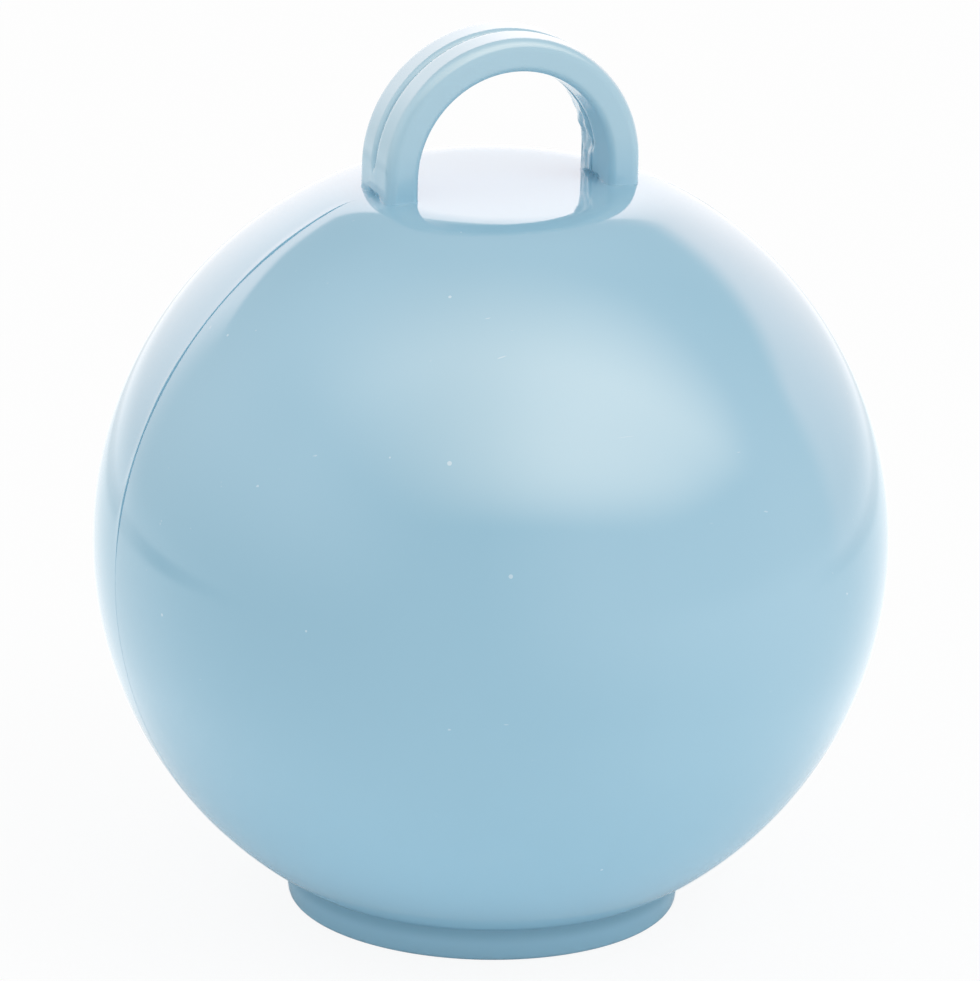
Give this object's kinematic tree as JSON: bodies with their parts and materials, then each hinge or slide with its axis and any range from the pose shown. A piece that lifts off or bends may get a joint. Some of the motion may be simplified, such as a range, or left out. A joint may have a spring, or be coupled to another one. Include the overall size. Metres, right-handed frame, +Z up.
{
  "type": "balloon weight",
  "caption": "Ball-shaped plastic balloon weight with a ribbon loop on its flattened top and a short foot ring, filled with sand through a stoppered hole in its recessed base.",
  "frame": {"origin": "centre of the foot ring's underside, on the surface that the weight stands on", "axes": "+Z up, through the ball's centre and the loop; +X along the loop's plane, which is also the parting plane; -Y is the front"},
  "size_m": [0.047, 0.047, 0.0535],
  "materials": {
    "shell_plastic": "gloss",
    "plug_plastic": "satin",
    "sand": "matte"
  },
  "bodies": {
    "shell": {"front_shell": "shell_plastic", "rear_shell": "shell_plastic", "sand_fill": "sand"},
    "stopper": {"filler_plug": "plug_plastic"}
  },
  "joints": [
    {"name": "stopper_pull", "type": "slide", "parent": "shell", "child": "stopper", "axis": [0, 0, -1], "range_m": [0, 0.009]}
  ]
}
